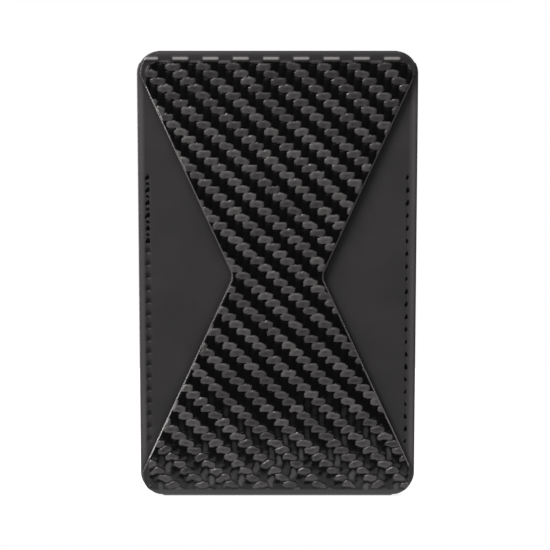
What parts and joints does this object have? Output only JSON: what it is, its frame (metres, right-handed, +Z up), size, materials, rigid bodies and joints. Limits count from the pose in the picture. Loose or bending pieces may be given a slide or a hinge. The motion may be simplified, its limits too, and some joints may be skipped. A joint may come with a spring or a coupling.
{
  "type": "stick-on card wallet with folding stand",
  "caption": "Flat stick-on card wallet with an hourglass front panel that folds out into a stand, woven-look skin and a smooth card pocket.",
  "frame": {"origin": "centre of the adhesive's outer face, at the back of the wallet", "axes": "+Z up the wallet towards the stand's free edge, -Y out of its front, +X to the right seen from the front"},
  "size_m": [0.061, 0.0055, 0.098],
  "materials": {
    "smooth_skin": "matt synthetic leather, fine grain",
    "woven_skin": "coated synthetic leather embossed as a twill weave, semi-gloss",
    "lining": "thin microfibre",
    "board": "glass-fibre board",
    "steel": "thin spring steel strip",
    "magnet": "nickel-plated magnet",
    "adhesive": "tacky washable gel",
    "thread": "waxed polyester thread"
  },
  "bodies": {
    "pocket_body": {"adhesive_pad": "adhesive", "rear_skin": "smooth_skin", "rear_board": "board", "pocket_lining": "lining", "left_spacer": "smooth_skin", "right_spacer": "smooth_skin", "bottom_spacer": "lining", "pocket_front_lining": "lining", "pocket_front_skin": "smooth_skin", "top_catch_plate_left": "steel", "top_catch_plate_right": "steel", "middle_catch_plate": "steel", "left_seam_thread": "thread", "right_seam_thread": "thread", "bottom_wrap": "woven_skin"},
    "lower_panel": {"lower_weave_skin": "woven_skin", "lower_board": "board", "lower_lining": "lining"},
    "upper_panel": {"upper_weave_skin": "woven_skin", "upper_board": "board", "upper_lining": "lining", "edge_roll": "woven_skin", "edge_magnet_left": "magnet", "edge_magnet_right": "magnet"}
  },
  "joints": [
    {"name": "lower_fold", "type": "hinge", "parent": "pocket_body", "child": "lower_panel", "pos_m": [0, -0.0055, -0.048], "axis": [1, 0, 0], "range_deg": [0, 60]},
    {"name": "waist_fold", "type": "hinge", "parent": "lower_panel", "child": "upper_panel", "pos_m": [0, -0.0049, 0], "axis": [1, 0, 0], "range_deg": [-120, 0]}
  ],
  "couplings": [
    {"joint": "waist_fold", "follows": "lower_fold", "ratio": -2}
  ]
}
